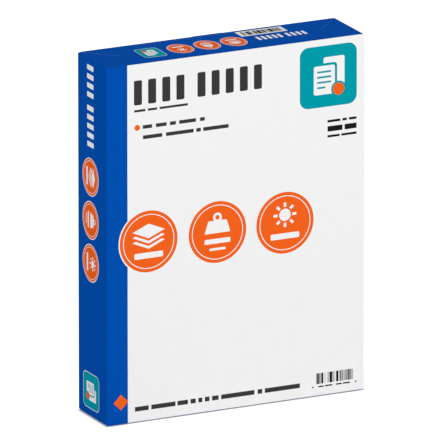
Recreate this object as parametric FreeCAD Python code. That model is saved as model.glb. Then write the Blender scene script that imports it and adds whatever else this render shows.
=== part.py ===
import FreeCAD, Part
import os
from math import sqrt
from FreeCAD import Vector

# A ream of copy paper: 500 letter sheets in a sealed paper wrapper, standing on one short end.
# Millimetres. X is the width, -Y the printed front, +Y the back with the lap seam, +Z up.
# The origin is the bottom centre of the whole pack.

# The sheets.
SHEET_WIDTH = 215.9
SHEET_LENGTH = 279.4
SHEET_COUNT = 500
SHEET_THICKNESS = 0.099

# The wrapper: one layer drawn tight over the faces, and one layer with the air under it in the folds.
WRAPPER = 0.15
FOLD_LAYER = 0.2

# The wrapper's rounding over the stack's long edges, and over the edges round each end.
SIDE_EDGE_RADIUS = 0.9
END_EDGE_RADIUS = 0.8

# Each end flap stops this far short of the edge that it is folded towards.
FLAP_SHORT_BY = 4.8

# The lap seam down the middle of the back: its width, and the slope where the outer lap climbs it.
LAP_WIDTH = 24.0
LAP_SLOPE = 1.5

# Layers of wrapper over the sheets' ends. The side tuck is one layer. A flap is folded double where it
# meets the tuck, and where the front's flap lies over the back's, it is two layers more.
TUCK_LAYERS = 1
FLAP_LAYERS = TUCK_LAYERS + 2
OVERLAP_LAYERS = FLAP_LAYERS + 2

# The pack between its flat faces. The seam adds one layer at the back, and the origin is in the middle.
PACK_WIDTH = SHEET_WIDTH + 2 * WRAPPER
PACK_DEPTH = SHEET_COUNT * SHEET_THICKNESS + 2 * WRAPPER
PACK_HEIGHT = SHEET_LENGTH + 2 * OVERLAP_LAYERS * FOLD_LAYER
SIDE_X = PACK_WIDTH / 2
FRONT_Y = -(PACK_DEPTH + WRAPPER) / 2
BACK_Y = FRONT_Y + PACK_DEPTH
SEAM_Y = BACK_Y + WRAPPER
MIDDLE_Z = PACK_HEIGHT / 2

# The flaps' length from hinge to cut edge, and how far out the outer flap runs for each layer that it
# comes down over the inner flap's hidden edges.
FLAP_LENGTH = PACK_DEPTH - FLAP_SHORT_BY
DRAPE_RUN = FLAP_SHORT_BY / OVERLAP_LAYERS


def wrapped_block(end_build, back_y):
    """The stack with so much wrapper on each end, rounded over its long edges and its end edges."""
    height = SHEET_LENGTH + 2 * end_build
    corner = Vector(-SIDE_X, FRONT_Y, MIDDLE_Z - height / 2)
    block = Part.makeBox(PACK_WIDTH, back_y - FRONT_Y, height, corner)
    long_edges = [edge for edge in block.Edges if edge.BoundBox.ZLength > SHEET_LENGTH / 2]
    block = block.makeFillet(SIDE_EDGE_RADIUS, long_edges)
    end_edges = [edge for edge in block.Edges if edge.BoundBox.ZLength < SHEET_LENGTH / 2]
    return block.makeFillet(END_EDGE_RADIUS, end_edges)


def outline_wire(outline, z):
    points = [Vector(x, y, z) for x, y in outline]
    return Part.makePolygon(points + points[:1])


def column(outline):
    """A prism through the whole height over an outline in X and Y."""
    return Part.Face(outline_wire(outline, 0)).extrude(Vector(0, 0, PACK_HEIGHT))


def flap_outline(hinge_y, inward, grown=0.0):
    """A flap: full width at its hinge, with 45 degree folds up to its cut edge, grown by so much."""
    length = FLAP_LENGTH + grown
    hinge_x = SIDE_X + grown * sqrt(2)
    cut_x = hinge_x - length
    cut_y = hinge_y + inward * length
    return [(-hinge_x, hinge_y), (hinge_x, hinge_y), (cut_x, cut_y), (-cut_x, cut_y)]


def draped_column(hinge_y, inward):
    """The column over the inner flap, which spreads below each end as the outer flap comes down over it."""
    layers = OVERLAP_LAYERS - TUCK_LAYERS
    drop = layers * FOLD_LAYER
    tight = flap_outline(hinge_y, inward)
    spread = flap_outline(hinge_y, inward, layers * DRAPE_RUN)
    sections = [(tight, 0), (spread, drop), (spread, PACK_HEIGHT - drop), (tight, PACK_HEIGHT)]
    wires = [outline_wire(outline, z) for outline, z in sections]
    faces = [Part.Face(wires[0]), Part.Face(wires[-1])]
    for low, high in zip(wires, wires[1:]):
        faces += [flat_wall(*edges) for edges in zip(low.Edges, high.Edges)]
    skin = Part.makeCompound(faces)
    skin.sewShape()
    return Part.makeSolid(skin.Shells[0])


def flat_wall(low, high):
    """The flat face between two parallel edges."""
    a, b = [vertex.Point for vertex in low.Vertexes]
    d, c = [vertex.Point for vertex in high.Vertexes]
    return Part.Face(Part.makePolygon([a, b, c, d, a]))


def lap_outline():
    """The seam's double thickness: a slope on its left, and the outer lap's cut edge on its right."""
    half = LAP_WIDTH / 2
    foot = -half - LAP_SLOPE
    middle_y = (FRONT_Y + BACK_Y) / 2
    return [(foot, middle_y), (half, middle_y), (half, SEAM_Y), (-half, SEAM_Y), (foot, BACK_Y)]


def wrapped_ream():
    """The closed pack. On each end the sides are tucked in, then the back's flap, then the front's."""
    tucks = wrapped_block(TUCK_LAYERS * FOLD_LAYER, BACK_Y)
    flaps = wrapped_block(FLAP_LAYERS * FOLD_LAYER, BACK_Y)
    inner_flap = flaps.common(column(flap_outline(BACK_Y, -1)))
    outer_flap = flaps.common(column(flap_outline(FRONT_Y, 1)))
    overlap = wrapped_block(OVERLAP_LAYERS * FOLD_LAYER, BACK_Y)
    overlap = overlap.common(draped_column(BACK_Y, -1)).common(column(flap_outline(FRONT_Y, 1)))
    seam = wrapped_block(FLAP_LAYERS * FOLD_LAYER + WRAPPER, SEAM_Y).common(column(lap_outline()))
    return tucks.fuse([inner_flap, outer_flap, overlap, seam]).removeSplitter()


def report(name, shape):
    box = shape.BoundBox
    size = f"{box.XLength:.2f} x {box.YLength:.2f} x {box.ZLength:.2f} mm"
    print(f"{name}: {len(shape.Solids)} solid, valid {shape.isValid()}, {size}, {len(shape.Faces)} faces")


os.makedirs("parts", exist_ok=True)
ream = wrapped_ream()
report("wrapped_ream", ream)
ream.exportStep("parts/wrapped_ream.step")
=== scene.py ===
from math import cos, radians, sin, sqrt

import bmesh
import bpy
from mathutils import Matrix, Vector, noise


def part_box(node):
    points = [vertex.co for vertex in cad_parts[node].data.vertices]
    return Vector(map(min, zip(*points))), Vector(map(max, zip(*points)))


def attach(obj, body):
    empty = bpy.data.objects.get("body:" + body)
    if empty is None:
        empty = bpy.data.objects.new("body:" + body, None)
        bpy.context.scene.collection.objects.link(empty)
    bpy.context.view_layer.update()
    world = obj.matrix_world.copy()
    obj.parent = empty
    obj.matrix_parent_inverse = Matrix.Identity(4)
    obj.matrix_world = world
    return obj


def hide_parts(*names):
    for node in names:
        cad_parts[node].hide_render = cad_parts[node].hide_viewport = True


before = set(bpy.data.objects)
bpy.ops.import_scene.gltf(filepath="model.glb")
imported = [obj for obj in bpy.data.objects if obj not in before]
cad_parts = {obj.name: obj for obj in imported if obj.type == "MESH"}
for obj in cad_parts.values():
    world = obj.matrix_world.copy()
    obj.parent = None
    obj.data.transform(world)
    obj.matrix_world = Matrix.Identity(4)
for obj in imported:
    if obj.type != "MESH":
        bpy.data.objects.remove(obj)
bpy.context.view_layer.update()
LOW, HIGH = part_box("wrapped_ream")

# The wrapper's form, in metres. The ream stands on one short end, with its print to the front at -Y. The
# edges' reach is their rounding and a hair more, which takes in the corners where the rounding begins.
MM = 0.001
LAYER = 0.2 * MM
LAP_STEP = 0.15 * MM
EDGE_ROUND = 0.85 * MM
EDGE_SEGMENTS = 6
EDGE_REACH = EDGE_ROUND * 1.001
FLAP_SHORT_BY = 4.8 * MM
FOLD_WIDTH = 0.2 * MM
DRAPE_RUN = 1.92 * MM
LAP_HALF = 12 * MM
LAP_SLOPE = 1.5 * MM
HALF_WIDTH = HIGH.x
FRONT = LOW.y
BACK = HIGH.y - LAP_STEP
DEPTH = BACK - FRONT
HEIGHT = HIGH.z - LOW.z
MIDDLE_Z = (LOW.z + HIGH.z) / 2
FLAP_LENGTH = DEPTH - FLAP_SHORT_BY

# Layers of folded wrapper over the tuck, which is the lowest of them.
FLAP_RISE = 2
OVERLAP_RISE = 4
TUCK_HEIGHT = HEIGHT - 2 * OVERLAP_RISE * LAYER

# The cells that the faces and ends are cut into, so that the paper can bend, and how near two cuts may
# come before they count as one. Creases are kept sharp where the paper turns by more than the angle.
FACE_CELL = 6 * MM
END_CELL = 3 * MM
SAME_PLACE = 1e-7
CREASE_ANGLE = 32.0

# How far the paper strays from flat either way, how long its waves are, how far before an edge it starts
# to come back to flat, and how near a side the folds are pressed down. Each wave reads its own part of the
# noise, which is made stronger to reach about 1.
FACE_WAVE = 0.07 * MM
FACE_WAVE_LENGTH = 62 * MM
FLAP_WAVE = 0.09 * MM
FLAP_WAVE_LENGTH = 26 * MM
WAVE_MARGIN = 16 * MM
CORNER_RUN = 2.4 * MM
WAVE_GAIN = 1.6
WAVE_SEEDS = {"flap": 2, "flap_lip": 5, "lap_lip": 7, "front": 11, "back": 17, "sides": 23}

# How far the cut edges of the outer flap and of the lap stand up at most, how far in from the edge they
# start to, and the shares of it that are even and that vary along the edge.
CUT_LIFT = 0.22 * MM
FLAP_LIFT_RUN = 7 * MM
FLAP_LIFT_WAVE_LENGTH = 40 * MM
FLAP_LIFT_EVEN, FLAP_LIFT_VARIED = 0.55, 0.45
LAP_LIFT_RUN = 5 * MM
LAP_LIFT_EVEN, LAP_LIFT_VARIED = 0.5, 0.5

# Where each side lies on the wrapper's colour image: its lower left corner in pixels, and its pixels for
# each millimetre. The printed sides have the most.
IMAGE_PIXELS = 1024
IMAGE_PLACES = {
    "front": (4, 4, 3.0),
    "left": (660, 4, 3.0),
    "top": (4, 856, 3.0),
    "back": (818, 4, 0.9),
    "right": (818, 266, 2.0),
    "bottom": (664, 862, 1.6),
}


def clamp(value, low=0.0, high=1.0):
    return max(low, min(high, value))


def smooth(value):
    value = clamp(value)
    return value * value * (3 - 2 * value)


def inside_flap(x, from_hinge):
    """How far inside a flap's outline a point of the end lies: its 45 degree folds and its cut edge."""
    from_side = HALF_WIDTH - abs(x)
    return min((from_side - from_hinge) / sqrt(2), FLAP_LENGTH - from_hinge)


def flap_cover(x, y):
    """How much of the outer and of the inner flap lies over a point of the end, each from 0 to 1."""
    outer = clamp(inside_flap(x, y - FRONT) / FOLD_WIDTH + 0.5)
    within = inside_flap(x, BACK - y)
    open_fold = clamp(within / FOLD_WIDTH + 0.5)
    hidden_fold = clamp(within / DRAPE_RUN + 1)
    return outer, outer * hidden_fold + (1 - outer) * open_fold


def lap_cover(x):
    """The seam's double thickness, with a slope on one side and the outer lap's cut edge on the other."""
    slope = clamp((x + LAP_HALF + LAP_SLOPE) / LAP_SLOPE)
    cut = clamp((LAP_HALF - x) / FOLD_WIDTH + 0.5)
    return slope * cut


def wave(a, b, length, name):
    """A soft unevenness between about -1 and 1 over a face."""
    return noise.noise(Vector((a / length, b / length, WAVE_SEEDS[name]))) * WAVE_GAIN


def end_shift(x, y, upper):
    """How far the folded layers raise a point of the end over the tuck's level. On the upper end the outer
    flap is also slightly wavy, with its cut edge a little loose."""
    outer, inner = flap_cover(x, y)
    pressed = smooth((HALF_WIDTH - abs(x)) / CORNER_RUN)
    rise = LAYER * FLAP_RISE * (outer + inner) * pressed + LAP_STEP * lap_cover(x) * inner * (1 - outer)
    if not upper:
        return rise
    from_cut = FLAP_LENGTH - (y - FRONT)
    varied = FLAP_LIFT_EVEN + FLAP_LIFT_VARIED * wave(x, y, FLAP_LIFT_WAVE_LENGTH, "flap_lip")
    lift = CUT_LIFT * outer * (1 - smooth(from_cut / FLAP_LIFT_RUN)) * varied
    hinge = min(y - FRONT, BACK - y, HALF_WIDTH - abs(x))
    fade = smooth(hinge / WAVE_MARGIN)
    return rise + lift + FLAP_WAVE * fade * outer * wave(x, y, FLAP_WAVE_LENGTH, "flap")


def cut_through(mesh, point, normal, wanted=None):
    """Cuts the faces that are wanted along a plane, and keeps both sides."""
    faces = [face for face in mesh.faces if wanted is None or wanted(face.calc_center_median())]
    for face in mesh.faces:
        face.tag = False
    for face in faces:
        face.tag = True
    edges = [edge for edge in mesh.edges if any(face.tag for face in edge.link_faces)]
    verts = [vert for vert in mesh.verts if any(face.tag for face in vert.link_faces)]
    bmesh.ops.bisect_plane(
        mesh, geom=verts + edges + faces, dist=SAME_PLACE, plane_co=point, plane_no=normal)


def is_end(point):
    return abs(point.z - MIDDLE_Z) > TUCK_HEIGHT / 2 - EDGE_ROUND


def is_back_or_end(point):
    return point.y > BACK - EDGE_ROUND or is_end(point)


def cut_folds(mesh):
    """Lines either side of every fold and cut edge of the end flaps and of the lap seam."""
    half = FOLD_WIDTH / 2
    hidden = [0, DRAPE_RUN / 2, DRAPE_RUN]
    for side in (-1, 1):
        for hinge, inward, offsets in ((FRONT, 1, [-half, half]), (BACK, -1, [-half, half] + hidden)):
            outward = Vector((side, inward, 0)).normalized()
            corner = Vector((side * HALF_WIDTH, hinge, 0))
            for offset in offsets:
                cut_through(mesh, corner + outward * offset, outward, is_end)
    for offset in (-half, half):
        cut_through(mesh, (0, FRONT + FLAP_LENGTH + offset, 0), (0, 1, 0), is_end)
        cut_through(mesh, (LAP_HALF + offset, 0, 0), (1, 0, 0), is_back_or_end)
    for offset in hidden:
        cut_through(mesh, (0, BACK - FLAP_LENGTH - offset, 0), (0, 1, 0), is_end)
    for offset in (0, LAP_SLOPE):
        cut_through(mesh, (-LAP_HALF - offset, 0, 0), (1, 0, 0), is_back_or_end)


def cut_cells(mesh, low, high, cell, axis, wanted=None):
    """Even cuts across one axis, so that the paper can bend between them."""
    count = round((high - low) / cell)
    normal = Vector([float(axis == index) for index in range(3)])
    for index in range(1, count):
        cut_through(mesh, normal * (low + (high - low) * index / count), normal, wanted)


def lap_shift(x, z):
    """How far the seam raises a point of the back, with its cut edge a little loose here and there."""
    from_cut = LAP_HALF - x
    loose = smooth(min(z - LOW.z, HIGH.z - z) / WAVE_MARGIN) * (1 - smooth(from_cut / LAP_LIFT_RUN))
    varied = LAP_LIFT_EVEN + LAP_LIFT_VARIED * wave(x, z, FACE_WAVE_LENGTH, "lap_lip")
    return lap_cover(x) * (LAP_STEP + CUT_LIFT * loose * varied)


def uneven_faces(vert):
    """The slight waves of paper drawn over the broad faces and the sides."""
    x, y, z = vert.co
    from_end = min(z - LOW.z, HIGH.z - z)
    fade = smooth(min(from_end, HALF_WIDTH - abs(x)) / WAVE_MARGIN)
    if y < FRONT + MM or y > BACK - MM:
        vert.co.y += FACE_WAVE * fade * wave(x, z, FACE_WAVE_LENGTH, "front" if y < 0 else "back")
    if abs(x) > HALF_WIDTH - MM:
        fade = smooth(min(from_end, y - FRONT, BACK - y) / WAVE_MARGIN)
        vert.co.x += FACE_WAVE * fade * wave(y, z, FACE_WAVE_LENGTH, "sides")


def raise_folds(mesh):
    """Moves the ends out over their folded layers, and the back out over the lap seam."""
    end_z = TUCK_HEIGHT / 2 - EDGE_REACH
    back_y = BACK - EDGE_REACH
    for vert in mesh.verts:
        x, y, z = vert.co
        height = z - MIDDLE_Z
        if y > back_y:
            vert.co.y += lap_shift(x, z)
        if abs(height) > end_z:
            vert.co.z += end_shift(x, y, height > 0) * (1 if height > 0 else -1)
        else:
            uneven_faces(vert)


def side_of(point):
    """The name of the pack's side that a point lies on."""
    x, y, z = point
    wall = min(y - FRONT, BACK - y)
    side = HALF_WIDTH - abs(x)
    end = min(z - LOW.z, HIGH.z - z) - FLAP_RISE * LAYER
    nearest = min(wall, side, end)
    if nearest == wall:
        return "front" if y < 0 else "back"
    if nearest == side:
        return "left" if x < 0 else "right"
    return "top" if z > MIDDLE_Z else "bottom"


def place_on(side, point):
    """Across and up one side of the pack."""
    x, y, z = point
    if side in ("front", "back"):
        return x + HALF_WIDTH, z
    if side in ("left", "right"):
        return y - FRONT, z
    return x + HALF_WIDTH, y - FRONT


def lay_out_image(mesh):
    """Lays each side flat on the colour image at its own place and scale."""
    layer = mesh.loops.layers.uv.new("OFBake")
    for face in mesh.faces:
        side = side_of(face.calc_center_median())
        left, low, scale = IMAGE_PLACES[side]
        for loop in face.loops:
            across, up = place_on(side, loop.vert.co)
            loop[layer].uv = (
                (left + across / MM * scale) / IMAGE_PIXELS, (low + up / MM * scale) / IMAGE_PIXELS)


def new_piece(name, mesh, material):
    """Turns a bmesh into a shaded piece with its material."""
    bmesh.ops.recalc_face_normals(mesh, faces=mesh.faces)
    for face in mesh.faces:
        face.smooth = True
    for edge in mesh.edges:
        edge.smooth = edge.calc_face_angle(0) < radians(CREASE_ANGLE)
    data = bpy.data.meshes.new(name)
    mesh.to_mesh(data)
    mesh.free()
    piece = bpy.data.objects.new(name, data)
    bpy.context.scene.collection.objects.link(piece)
    data.materials.append(material)
    weights = piece.modifiers.new("even_shading", "WEIGHTED_NORMAL")
    weights.keep_sharp = True
    return piece


def ream_wrapper(material):
    """The closed pack: a round-edged block whose ends are folded and whose back is lapped."""
    mesh = bmesh.new()
    bmesh.ops.create_cube(mesh, size=1)
    bmesh.ops.scale(mesh, vec=(2 * HALF_WIDTH, DEPTH, TUCK_HEIGHT), verts=mesh.verts)
    bmesh.ops.translate(mesh, vec=(0, (FRONT + BACK) / 2, MIDDLE_Z), verts=mesh.verts)
    bmesh.ops.bevel(
        mesh, geom=mesh.edges[:], offset=EDGE_ROUND, offset_type="OFFSET", affect="EDGES",
        segments=EDGE_SEGMENTS, profile=0.5, material=-1,
    )
    cut_cells(mesh, -HALF_WIDTH, HALF_WIDTH, FACE_CELL, 0)
    cut_cells(mesh, FRONT, BACK, FACE_CELL, 1)
    cut_cells(mesh, LOW.z, HIGH.z, FACE_CELL, 2)
    cut_cells(mesh, -HALF_WIDTH, HALF_WIDTH, END_CELL, 0, is_end)
    cut_cells(mesh, FRONT, BACK, END_CELL, 1, is_end)
    cut_folds(mesh)
    raise_folds(mesh)
    lay_out_image(mesh)
    return new_piece("ream_wrapper", mesh, material)


class Value:
    """A number that changes over a surface: a shader socket that adds up and compares as numbers do."""

    def __init__(self, nodes, socket):
        self.nodes = nodes
        self.socket = socket

    def __add__(self, other):
        return self.nodes.maths("ADD", self, other)

    def __sub__(self, other):
        return self.nodes.maths("SUBTRACT", self, other)

    def __rsub__(self, other):
        return self.nodes.maths("SUBTRACT", other, self)

    def __mul__(self, other):
        return self.nodes.maths("MULTIPLY", self, other)

    def __truediv__(self, other):
        return self.nodes.maths("DIVIDE", self, other)

    def __lt__(self, other):
        return self.nodes.maths("LESS_THAN", self, other)

    def __gt__(self, other):
        return self.nodes.maths("GREATER_THAN", self, other)

    def __abs__(self):
        return self.nodes.maths("ABSOLUTE", self)

    __radd__ = __add__
    __rmul__ = __mul__


class Nodes:
    """Adds nodes to one node tree, which it empties first."""

    def __init__(self, owner):
        owner.use_nodes = True
        self.tree = owner.node_tree
        self.tree.nodes.clear()

    def add(self, kind, sockets=None, steps=(), **settings):
        """A new node: first its settings and a ramp's steps, as places and shades, then the values or links
        of its sockets, by name or number."""
        node = self.tree.nodes.new(kind)
        for name, value in settings.items():
            setattr(node, name, value)
        for place, shade in steps:
            node.color_ramp.interpolation = "CONSTANT"
            node.color_ramp.elements.new(place).color = (shade, shade, shade, 1)
        for key, value in (sockets or {}).items():
            self.feed(node.inputs[key], value)
        return node

    def feed(self, socket, value):
        value = getattr(value, "socket", value)
        if isinstance(value, bpy.types.NodeSocket):
            self.tree.links.new(value, socket)
        else:
            socket.default_value = value

    def maths(self, operation, *values):
        node = self.add("ShaderNodeMath", dict(enumerate(values)), operation=operation)
        return Value(self, node.outputs[0])

    def least(self, first, *others):
        for other in others:
            first = self.maths("MINIMUM", first, other)
        return first

    def most(self, first, *others):
        for other in others:
            first = self.maths("MAXIMUM", first, other)
        return first

    def mix(self, share, first, second):
        """The first colour where share is 0 and the second where it is 1."""
        return self.add("ShaderNodeMix", {0: share, 6: first, 7: second}, data_type="RGBA").outputs[2]

    def place(self):
        """The point's own place in the row's frame in millimetres, whole and along each axis."""
        point = self.add("ShaderNodeTexCoord").outputs["Object"]
        values = {"Vector": point, "Scale": 1 / MM}
        point = self.add("ShaderNodeVectorMath", values, operation="SCALE").outputs[0]
        axes = self.add("ShaderNodeSeparateXYZ", {"Vector": point}).outputs
        return point, Value(self, axes[0]), Value(self, axes[1]), Value(self, axes[2])

    def noise(self, point, scale, detail, roughness):
        values = {"Vector": point, "Scale": scale, "Detail": detail, "Roughness": roughness}
        return Value(self, self.add("ShaderNodeTexNoise", values).outputs[0])

    def ripple(self, value, scale):
        """Uneven ridges across one direction."""
        values = {"W": value, "Scale": scale}
        return Value(self, self.add("ShaderNodeTexNoise", values, noise_dimensions="1D").outputs[0])

    def between(self, value, low, high):
        """1 where the value lies between the two, and 0 elsewhere."""
        return abs(value - (low + high) / 2) < (high - low) / 2

    def bar(self, p, q, left, right, low, high):
        return self.between(p, left, right) * self.between(q, low, high)

    def tile(self, p, q, half_p, half_q, corner):
        """A rectangle round the place where p and q are 0, with round corners."""
        beyond_p = self.most(abs(p) - (half_p - corner), 0.0)
        beyond_q = self.most(abs(q) - (half_q - corner), 0.0)
        return beyond_p * beyond_p + beyond_q * beyond_q < corner * corner

    def disc(self, p, q, radius):
        return p * p + q * q < radius * radius

    def rhomb(self, p, q, half_p, half_q):
        return abs(p) / half_p + abs(q) / half_q < 1

    def stripes(self, value, spans):
        """1 inside each of the spans, which lie one after the other along the value."""
        low, high = spans[0][0] - 1, spans[-1][1] + 1
        edges = [(edge, shade) for span in spans for edge, shade in zip(span, (1, 0))]
        steps = [((edge - low) / (high - low), shade) for edge, shade in edges]
        inside = self.between(value, low, high)
        ramp = self.add("ShaderNodeValToRGB", {"Fac": (value - low) / (high - low)}, steps)
        return Value(self, ramp.outputs[0]) * inside


# The inks and the bare paper, as they look in plain light.
WHITE = (0.871, 0.871, 0.871, 1)
BLUE = (0.0005, 0.0765, 0.417, 1)
ORANGE = (0.871, 0.121, 0.013, 1)
TEAL = (0.001, 0.312, 0.38, 1)
DARK = (0.044, 0.04, 0.044, 1)
BLACK = (0.012, 0.011, 0.012, 1)
# Bare paper at the cut edges, darkened to grey as a painted shadow line.
CUT_PAPER_AND_SHADOW = (0.56, 0.55, 0.52, 1)
RUBBED_BLUE = (0.16, 0.25, 0.52, 1)

# Places of the print in millimetres: from the pack's left edge and down from its top on the front, from
# the back edge and down from the top on the left side, and from the left and the back edge on the top.
BAND_WIDTH = 17.4
DISC_RADIUS = 24.1
DISC_RIM = 1.045
DISC_RING = (0.862, 0.89)
SIDE_DISC_RADII = (14.2, 13.4)
TOP_DISC_RADII = (9.5, 12.0)
FRONT_DISCS = ((35.0, 140.2), (92.6, 140.4), (149.3, 140.5))
SIDE_DISCS = ((22.0, 92.7), (22.0, 126.5), (22.0, 160.2))
TOP_DISCS = ((117.2, 27.4), (94.9, 27.4), (72.6, 27.4))
BADGE_CORNER = 0.3
BADGE_RIM = 0.034
FRONT_BADGE, FRONT_BADGE_HALF = (185.6, 29.8), 24.0
SIDE_BADGE, SIDE_BADGE_HALVES = (22.2, 261.0), (13.6, 13.3)
TOP_BADGE, TOP_BADGE_HALVES = (47.6, 27.5), (9.1, 11.6)

# The heading stands in two groups of upright tiles, each with its count and its start along the heading.
# Each face has the heading's own start and middle line, how much smaller it is there, and half its height.
HEADING_GROUPS = ((4, 0.0), (5, 53.0))
HEADING_PITCH = 11.8
HEADING_TILE = 6.7
HEADING_CORNER = 1.3
FRONT_HEADING, FRONT_HEADING_SCALE, FRONT_HEADING_HALF = (22.9, 23.0), 1.0, 9.6
SIDE_HEADING, SIDE_HEADING_SCALE, SIDE_HEADING_HALF = (5.4, 22.0), 0.597, 5.5
TOP_HEADING, TOP_HEADING_SCALE, TOP_HEADING_HALF = (177.2, 27.9), 0.38, 4.5

# Rows of small bars on the front: top and bottom, and where each bar starts and ends. Those under the
# heading and along the bottom are dark grey. Those near the right edge are black, as the codes are.
GREY_ROWS = (
    (36.2, 38.0, ((23.0, 32.4), (34.4, 42.0), (44.2, 67.8))),
    (48.8, 51.6, ((30.2, 37.8), (41.0, 50.0), (52.8, 57.8), (60.6, 74.6), (77.8, 81.8))),
    (56.8, 59.7, ((30.2, 46.4), (49.4, 72.6), (74.8, 78.4), (80.4, 101.8))),
    (269.0, 272.6, ((23.2, 34.6), (36.6, 56.8), (58.6, 67.4), (69.6, 74.0), (76.0, 79.4),
                    (81.6, 85.4), (88.0, 93.4), (95.2, 123.6), (126.0, 130.2), (132.2, 161.6))),
)
BLACK_ROWS = (
    (64.5, 66.4, ((185.0, 195.8), (197.6, 201.2), (203.0, 209.4))),
    (69.4, 73.6, ((185.0, 197.6), (199.4, 209.4))),
    (76.4, 78.2, ((185.0, 195.2), (196.6, 209.4))),
    (273.2, 274.3, ((172.2, 173.6), (177.6, 182.2), (183.2, 189.4), (192.4, 197.2), (198.2, 204.2),
                    (208.6, 210.0))),
)
BULLET, BULLET_RADIUS = (25.6, 50.2), 2.3
MARK, MARK_HALF = (11.6, 263.8), 6.2

# The codes are stripes at random: the width of the narrowest, the share that is black, and the left,
# right, top and bottom of each code and of the white label under the one on the top.
CODE_MODULE = 0.33
CODE_SHARE = 0.66
FRONT_CODE = (175.8, 207.0, 263.2, 271.6)
TOP_CODE_LABEL = (128.4, 167.0, 5.6, 18.6)
TOP_CODE = (131.6, 163.8, 7.6, 16.4)

# The cut edges of the wrapper show its bare paper, darkened into a painted shadow line along each edge:
# how wide on the ends and on the back.
FLAP_CUT_WIDTH = 0.36
LAP_CUT_WIDTH = 0.5

# The ink is a little rubbed along the folds of the ends: how wide, and how much at most.
RUB_WIDTH = 0.35
RUB_SHARE = 0.45

# The noises over the paper: how many times each changes in a millimetre, its detail and its roughness.
MOTTLE = (0.09, 3.0, 0.5)
FIBRE = (1.4, 5.0, 0.7)
RUB_MOTTLE = (0.5, 3.0, 0.5)

# The least shade and roughness of the paper, and what its mottle and its fibres add. Its shine is nearly
# none, because more of it lies as a pale veil on the ends when they are seen from low down.
SHADE_LEAST, SHADE_MOTTLE, SHADE_FIBRE = 0.969, 0.034, 0.03
ROUGH_LEAST, ROUGH_MOTTLE, ROUGH_FIBRE = 0.6, 0.06, 0.1
SHINE = 0.001

# How the paper's surface rises, in millimetres, and how many times it does so in a millimetre: its fibres,
# the sheets' edges felt through the sides and ends, and the cockles of the glued seam.
FIBRE_RIDGE = 0.02
SHEET_RIPPLE = 0.7
SHEET_RIDGE = 0.24
GLUE_RIPPLE = 0.16
GLUE_RIDGE = 0.3

# Every place of a shared sign is this far off on the faces that don't carry it.
FAR_OFF = 500.0


class Sides:
    """Which face of the pack a point is on, with the borders in the middle of the rounded edges."""

    def __init__(self, nodes, x, y, z):
        self.from_front = y - FRONT / MM
        self.from_back = BACK / MM - y
        self.across = x
        self.from_left = x + HALF_WIDTH / MM
        self.from_top = HIGH.z / MM - z
        wall = nodes.least(self.from_front, self.from_back)
        side = HALF_WIDTH / MM - abs(x)
        end = nodes.least(self.from_top, z) - FLAP_RISE * LAYER / MM
        self.broad = wall < nodes.least(side, end)
        self.ends = end < nodes.least(wall, side)
        self.front = self.broad * (y < 0)
        self.back = self.broad - self.front
        self.left = (1 - self.broad - self.ends) * (x < 0)
        self.top = self.ends * (z > MIDDLE_Z / MM)
        self.elsewhere = (1 - self.front - self.left - self.top) * FAR_OFF

    def pick(self, front, left, top):
        """One value for each printed face, and a place far from every sign on the others."""
        return self.front * front + self.left * left + self.top * top + self.elsewhere

    def sign_place(self, front, front_half, left, left_halves, top, top_halves):
        """Across and up from a sign's middle, in halves of its size. It lies with its top to the front on
        the left side, and upside down on the top."""
        across = self.pick(
            (self.from_left - front[0]) / front_half,
            (self.from_top - left[1]) / left_halves[0],
            (top[0] - self.from_left) / top_halves[0])
        up = self.pick(
            (front[1] - self.from_top) / front_half,
            (self.from_back - left[0]) / left_halves[1],
            (self.from_back - top[1]) / top_halves[1])
        return across, up

    def heading_place(self):
        """Along the heading and across its middle line, in the front heading's millimetres."""
        along = self.pick(
            (self.from_left - FRONT_HEADING[0]) / FRONT_HEADING_SCALE,
            (self.from_top - SIDE_HEADING[0]) / SIDE_HEADING_SCALE,
            (TOP_HEADING[0] - self.from_left) / TOP_HEADING_SCALE)
        across = self.pick(
            (self.from_top - FRONT_HEADING[1]) / FRONT_HEADING_HALF,
            (self.from_back - SIDE_HEADING[1]) / SIDE_HEADING_HALF,
            (self.from_back - TOP_HEADING[1]) / TOP_HEADING_HALF)
        return along, across * FRONT_HEADING_HALF


# The signs' places and sizes are in halves of their disc or badge, from its middle. A bar is given as how
# far it lies below the middle, half its length, half its height and how round its corners are.
SHEETS_MIDDLE, SHEETS_HALVES = 0.34, (0.56, 0.24)
SHEETS_DROPS, SHEETS_GAP = (0.17, 0.34), 0.09
SHEETS_BAR = (0.45, 0.5, 0.095, 0.04)

# Half the weight's width is given at the middle's height, and shrinks by the taper's share of the rise.
WEIGHT_LOW, WEIGHT_HIGH, WEIGHT_HALF, WEIGHT_TAPER = -0.03, 0.38, 0.44, 0.32
WEIGHT_RING, WEIGHT_RING_RADIUS, WEIGHT_HOLE_RADIUS = 0.48, 0.155, 0.075
WEIGHT_BARS = ((0.29, 0.45, 0.08, 0.04), (0.55, 0.28, 0.04, 0.03))

SUN_MIDDLE, SUN_RADIUS = 0.26, 0.2
RAY_START, RAY_END, RAY_HALF = 0.26, 0.4, 0.045
SUN_BAR = (0.43, 0.5, 0.095, 0.04)

# The pages' middles and halves, the gap that the front one keeps from the back one, and its ruled lines.
BACK_PAGE, FRONT_PAGE = (0.2, 0.15), (-0.14, -0.12)
PAGE_HALVES, PAGE_CORNER = (0.37, 0.47), 0.07
PAGE_GAP, PAGE_GAP_CORNER = 0.08, 0.12
LINE_COUNT, LINE_TOP, LINE_PITCH, LINE_HEIGHT = 4, 0.18, 0.17, 0.06
LINE_LEFT, LINE_RIGHT, LAST_LINE_SHORT_BY = -0.39, 0.1, 0.2
SEAL, SEAL_RADIUS, SEAL_GAP = (0.36, -0.46), 0.2, 0.06


def sign_bar(nodes, p, q, bar):
    drop, half_length, half_height, corner = bar
    return nodes.tile(p, q + drop, half_length, half_height, corner)


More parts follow.
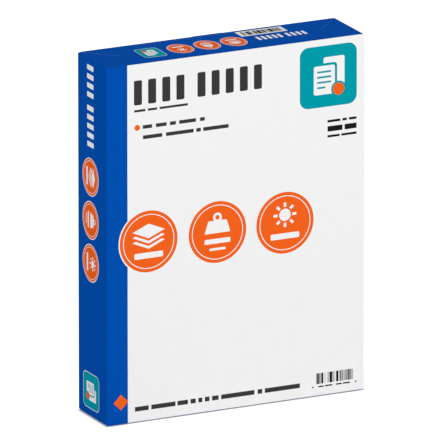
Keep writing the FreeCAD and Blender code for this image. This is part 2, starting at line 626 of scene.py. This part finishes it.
def sheets_sign(nodes, p, q):
    """A pile of sheets seen from above: the top one whole and the edges of two more, over a bar."""
    up = q - SHEETS_MIDDLE
    shape = nodes.rhomb(p, up, *SHEETS_HALVES)
    for drop in SHEETS_DROPS:
        under = nodes.rhomb(p, up + drop, *SHEETS_HALVES)
        cover = nodes.rhomb(p, up + drop - SHEETS_GAP, *SHEETS_HALVES)
        shape = nodes.most(shape, under * (1 - cover))
    return nodes.most(shape, sign_bar(nodes, p, q, SHEETS_BAR))


def weight_sign(nodes, p, q):
    """A flat-bottomed weight with its ring, over two bars."""
    body = nodes.between(q, WEIGHT_LOW, WEIGHT_HIGH) * (abs(p) < WEIGHT_HALF - q * WEIGHT_TAPER)
    up = q - WEIGHT_RING
    ring = nodes.disc(p, up, WEIGHT_RING_RADIUS) * (1 - nodes.disc(p, up, WEIGHT_HOLE_RADIUS))
    return nodes.most(body, ring, *[sign_bar(nodes, p, q, bar) for bar in WEIGHT_BARS])


def sun_sign(nodes, p, q):
    """A bright disc with eight rays, over a bar."""
    up = q - SUN_MIDDLE
    from_ray = nodes.least(abs(p), abs(up), abs(p - up) / sqrt(2), abs(p + up) / sqrt(2))
    rays = (from_ray < RAY_HALF) * nodes.disc(p, up, RAY_END) * (1 - nodes.disc(p, up, RAY_START))
    return nodes.most(nodes.disc(p, up, SUN_RADIUS), rays, sign_bar(nodes, p, q, SUN_BAR))


def page_tile(nodes, p, q, middle, grown, corner):
    half_p, half_q = PAGE_HALVES
    return nodes.tile(p - middle[0], q - middle[1], half_p + grown, half_q + grown, corner)


def page_lines(nodes, p, q):
    """The lines on the front page, of which the last is the shortest."""
    lines = []
    for index in range(LINE_COUNT):
        top = LINE_TOP - LINE_PITCH * index
        right = LINE_RIGHT - LAST_LINE_SHORT_BY * (index == LINE_COUNT - 1)
        lines.append(nodes.bar(p, q, LINE_LEFT, right, top - LINE_HEIGHT, top))
    return nodes.most(*lines)


def pages_sign(nodes, p, q):
    """Two pages, the one in front with ruled lines, and room left round a seal on its corner."""
    back_page = page_tile(nodes, p, q, BACK_PAGE, 0.0, PAGE_CORNER)
    gap = page_tile(nodes, p, q, FRONT_PAGE, PAGE_GAP, PAGE_GAP_CORNER)
    front_page = page_tile(nodes, p, q, FRONT_PAGE, 0.0, PAGE_CORNER) * (1 - page_lines(nodes, p, q))
    seal_room = nodes.disc(p - SEAL[0], q - SEAL[1], SEAL_RADIUS + SEAL_GAP)
    return nodes.most(back_page * (1 - gap), front_page) * (1 - seal_room)


def bar_rows(nodes, sides, rows):
    """1 inside the bars of every row on the front."""
    u, v = sides.from_left, sides.from_top
    bars = [nodes.stripes(u, spans) * nodes.between(v, top, bottom) for top, bottom, spans in rows]
    return sides.front * nodes.most(*bars)


def fold_lines(nodes, sides):
    """1 along the folds that show on the ends, and less up to a rub's width from them."""
    from_side = HALF_WIDTH / MM - abs(sides.across)
    outer = abs(from_side - sides.from_front) / sqrt(2) + (sides.from_front > FLAP_LENGTH / MM) * FAR_OFF
    inner = abs(from_side - sides.from_back) / sqrt(2) + (sides.from_back > sides.from_front) * FAR_OFF
    return sides.ends * nodes.most(1 - nodes.least(outer, inner) / RUB_WIDTH, 0.0)


def ground_print(nodes, sides, reach, badge):
    """White paper with blue sides, ends and band, and white rims round the discs, badge and code."""
    label = sides.top * nodes.bar(sides.from_left, sides.from_back, *TOP_CODE_LABEL)
    badge_rim = nodes.tile(*badge, 1 + BADGE_RIM, 1 + BADGE_RIM, BADGE_CORNER + BADGE_RIM)
    white = nodes.most(reach < DISC_RIM ** 2, badge_rim, label)
    blue = (1 - sides.broad + sides.front * (sides.from_left < BAND_WIDTH)) * (1 - white)
    return nodes.mix(blue, WHITE, BLUE)


def orange_print(nodes, sides, reach, colour):
    """The discs, each with a thin ring left out, and the front's bullet and mark."""
    u, v = sides.from_left, sides.from_top
    bullet = nodes.disc(u - BULLET[0], v - BULLET[1], BULLET_RADIUS)
    mark = nodes.rhomb(u - MARK[0], v - MARK[1], MARK_HALF, MARK_HALF)
    discs = nodes.most(reach < 1, sides.front * nodes.most(bullet, mark))
    ring = nodes.between(reach, DISC_RING[0] ** 2, DISC_RING[1] ** 2)
    orange = discs * (1 - ring)
    return nodes.mix(orange, colour, ORANGE)


def badge_print(nodes, badge, colour):
    """The teal badge, its pages and the seal on their corner."""
    colour = nodes.mix(nodes.tile(*badge, 1.0, 1.0, BADGE_CORNER), colour, TEAL)
    colour = nodes.mix(pages_sign(nodes, *badge), colour, WHITE)
    seal = nodes.disc(badge[0] - SEAL[0], badge[1] - SEAL[1], SEAL_RADIUS)
    return nodes.mix(seal, colour, ORANGE)


def heading_print(nodes, sides, colour):
    """The heading's tiles, dark on the front and white on the blue."""
    along, across = sides.heading_place()
    groups = []
    for count, start in HEADING_GROUPS:
        step = nodes.maths("FLOOR", (along - start) / HEADING_PITCH)
        from_tile = along - start - step * HEADING_PITCH - HEADING_TILE / 2
        tile = nodes.tile(from_tile, across, HEADING_TILE / 2, FRONT_HEADING_HALF, HEADING_CORNER)
        groups.append(tile * nodes.between(step, -0.5, count - 0.5))
    return nodes.mix(nodes.most(*groups), colour, nodes.mix(sides.front, WHITE, DARK))


def code_stripes(nodes, sides):
    """Upright stripes at random inside the places of the two codes."""
    u = sides.from_left
    front_code = sides.front * nodes.bar(u, sides.from_top, *FRONT_CODE)
    top_code = sides.top * nodes.bar(u, sides.from_back, *TOP_CODE)
    module = nodes.maths("FLOOR", u / CODE_MODULE)
    chance = nodes.add("ShaderNodeTexWhiteNoise", {"W": module}, noise_dimensions="1D").outputs[0]
    return (front_code + top_code) * (Value(nodes, chance) < CODE_SHARE)


def cut_edges_and_shadow_lines(nodes, sides):
    """1 at the cut edges of the end flaps and of the lap: partly bare paper, partly a painted shadow line.
    """
    overlap_half = (HALF_WIDTH - FLAP_LENGTH) / MM
    from_flap_cut = abs(sides.from_front - FLAP_LENGTH / MM)
    flap_cut = sides.ends * (from_flap_cut < FLAP_CUT_WIDTH / 2) * (abs(sides.across) < overlap_half)
    lap_cut = sides.back * (abs(sides.across - LAP_HALF / MM) < LAP_CUT_WIDTH / 2)
    return nodes.most(flap_cut, lap_cut)


def print_colour(nodes, sides):
    """The paper and each ink in turn over what is under it."""
    discs = [
        sides.sign_place(front, DISC_RADIUS, side, SIDE_DISC_RADII, top, TOP_DISC_RADII)
        for front, side, top in zip(FRONT_DISCS, SIDE_DISCS, TOP_DISCS)
    ]
    reach = nodes.least(*[p * p + q * q for p, q in discs])
    badge = sides.sign_place(
        FRONT_BADGE, FRONT_BADGE_HALF, SIDE_BADGE, SIDE_BADGE_HALVES, TOP_BADGE, TOP_BADGE_HALVES)
    signs = [sign(nodes, *disc) for sign, disc in zip((sheets_sign, weight_sign, sun_sign), discs)]

    colour = ground_print(nodes, sides, reach, badge)
    colour = orange_print(nodes, sides, reach, colour)
    colour = nodes.mix(nodes.most(*signs), colour, WHITE)
    colour = badge_print(nodes, badge, colour)
    colour = heading_print(nodes, sides, colour)
    colour = nodes.mix(bar_rows(nodes, sides, GREY_ROWS), colour, DARK)
    black = nodes.most(bar_rows(nodes, sides, BLACK_ROWS), code_stripes(nodes, sides))
    colour = nodes.mix(black, colour, BLACK)
    # The cut edges go last: bare paper with a painted shadow line beside them.
    return nodes.mix(cut_edges_and_shadow_lines(nodes, sides), colour, CUT_PAPER_AND_SHADOW)


def paper_relief(nodes, sides, y, z, fibre):
    """The fibres, the sheets' edges felt through the sides and ends, and the cockles of the glued seam."""
    ridges = (1 - sides.broad) * nodes.ripple(y, SHEET_RIPPLE) * SHEET_RIDGE
    on_lap = sides.back * (abs(sides.across) < LAP_HALF / MM)
    glued = on_lap * nodes.ripple(z, GLUE_RIPPLE) * GLUE_RIDGE
    height = fibre * FIBRE_RIDGE + ridges + glued
    return nodes.add("ShaderNodeBump", {"Height": height, "Distance": MM}).outputs[0]


def printed_paper():
    """Coated wrapping paper: its print, the ink rubbed along its folds, its mottle and its relief."""
    material = bpy.data.materials.new("printed_paper")
    nodes = Nodes(material)
    point, x, y, z = nodes.place()
    sides = Sides(nodes, x, y, z)
    mottle = nodes.noise(point, *MOTTLE)
    fibre = nodes.noise(point, *FIBRE)
    rubbed = fold_lines(nodes, sides) * nodes.noise(point, *RUB_MOTTLE) * RUB_SHARE
    colour = nodes.mix(rubbed, print_colour(nodes, sides), RUBBED_BLUE)
    shade = SHADE_LEAST + SHADE_MOTTLE * mottle + SHADE_FIBRE * fibre
    values = {
        "Base Color": nodes.add("ShaderNodeHueSaturation", {"Value": shade, "Color": colour}).outputs[0],
        "Roughness": ROUGH_LEAST + ROUGH_MOTTLE * mottle + ROUGH_FIBRE * fibre,
        "Normal": paper_relief(nodes, sides, y, z, fibre),
        "Specular IOR Level": SHINE,
    }
    paper = nodes.add("ShaderNodeBsdfPrincipled", values)
    nodes.add("ShaderNodeOutputMaterial", {"Surface": paper.outputs[0]})
    return material


# The floor and the light. The world lights evenly and looks white, and the floor glows to look so too. The
# glow fades out within the contact's reach of the pack, in millimetres, which paints a thin contact shadow
# on the floor round the pack. A soft low lamp stands in front, and a weaker one behind to the right, each
# at its azimuth and strength.
FLOOR_HALF = 4.0
FLOOR_WHITE = (0.92, 0.92, 0.92, 1)
FLOOR_GLOW = (0.55, 0.55, 0.55, 1)
NO_GLOW = (0, 0, 0, 1)
CONTACT_REACH = 1.9
SKY_WHITE = (1, 1, 1, 1)
AMBIENT = 0.645
LAMP_ELEVATION = 4.0
LAMP_SPREAD = 50.0
LAMPS = {"front_lamp": (-15.0, 1.74), "back_lamp": (155.0, 0.8)}


def seen_plainly(nodes):
    """1 for what the camera sees, straight, in a shine or through glass, and 0 for light on things."""
    path = nodes.add("ShaderNodeLightPath").outputs
    ways = ("Camera", "Glossy", "Transmission")
    return nodes.most(*[Value(nodes, path[f"Is {way} Ray"]) for way in ways])


def studio_floor():
    material = bpy.data.materials.new("studio_floor")
    nodes = Nodes(material)
    x, y = nodes.place()[1:3]
    # The glow is held back near the pack's footprint, which paints a thin contact shadow on the floor.
    from_pack = nodes.most(abs(x) - HALF_WIDTH / MM, abs(y) - DEPTH / MM / 2)
    beyond_painted_shadow = nodes.least(nodes.most(from_pack / CONTACT_REACH, 0.0), 1.0)
    paint = nodes.add("ShaderNodeBsdfDiffuse", {"Color": FLOOR_WHITE})
    glow = nodes.mix(seen_plainly(nodes) * beyond_painted_shadow, NO_GLOW, FLOOR_GLOW)
    glow = nodes.add("ShaderNodeEmission", {"Color": glow})
    both = nodes.add("ShaderNodeAddShader", {0: paint.outputs[0], 1: glow.outputs[0]})
    nodes.add("ShaderNodeOutputMaterial", {"Surface": both.outputs[0]})
    mesh = bmesh.new()
    bmesh.ops.create_grid(mesh, x_segments=1, y_segments=1, size=FLOOR_HALF)
    data = bpy.data.meshes.new("studio_floor")
    mesh.to_mesh(data)
    mesh.free()
    data.materials.append(material)
    floor = bpy.data.objects.new("studio_floor", data)
    bpy.context.scene.collection.objects.link(floor)


def studio_light():
    world = bpy.data.worlds.new("studio")
    bpy.context.scene.world = world
    nodes = Nodes(world)
    strength = AMBIENT + (1 - AMBIENT) * seen_plainly(nodes)
    sky = nodes.add("ShaderNodeBackground", {"Color": SKY_WHITE, "Strength": strength})
    nodes.add("ShaderNodeOutputWorld", {"Surface": sky.outputs[0]})
    for name, (azimuth, energy) in LAMPS.items():
        lamp = bpy.data.lights.new(name, "SUN")
        lamp.energy = energy
        lamp.angle = radians(LAMP_SPREAD)
        stand = bpy.data.objects.new(name, lamp)
        stand.rotation_euler = (radians(90 - LAMP_ELEVATION), 0, radians(azimuth))
        bpy.context.scene.collection.objects.link(stand)


# The camera stands far off behind a long lens, as in the photograph, and aims a little off the middle. A
# lens of over about 1700 mm would put the pack past the far clip of the views from other sides.
CAMERA_AZIMUTH = -26.14
CAMERA_ELEVATION = 16.51
CAMERA_DISTANCE = 12.0
CAMERA_LENS = 1280.5
AIM_RIGHT = 1.6 * MM
AIM_DOWN = 1.6 * MM


def photo_camera():
    turn, tilt = radians(CAMERA_AZIMUTH), radians(CAMERA_ELEVATION)
    back = Vector((sin(turn) * cos(tilt), -cos(turn) * cos(tilt), sin(tilt)))
    right = Vector((cos(turn), sin(turn), 0))
    aim = (LOW + HIGH) / 2 + right * AIM_RIGHT - back.cross(right) * AIM_DOWN
    data = bpy.data.cameras.new("photo_camera")
    data.lens = CAMERA_LENS
    data.clip_end = 2 * CAMERA_DISTANCE
    camera = bpy.data.objects.new("photo_camera", data)
    camera.location = aim + back * CAMERA_DISTANCE
    camera.rotation_euler = (radians(90) - tilt, 0, turn)
    bpy.context.scene.collection.objects.link(camera)
    bpy.context.scene.camera = camera


wrapper = ream_wrapper(printed_paper())
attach(wrapper, "root")
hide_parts("wrapped_ream")
studio_floor()
studio_light()
photo_camera()
bpy.context.scene.view_settings.view_transform = "Standard"
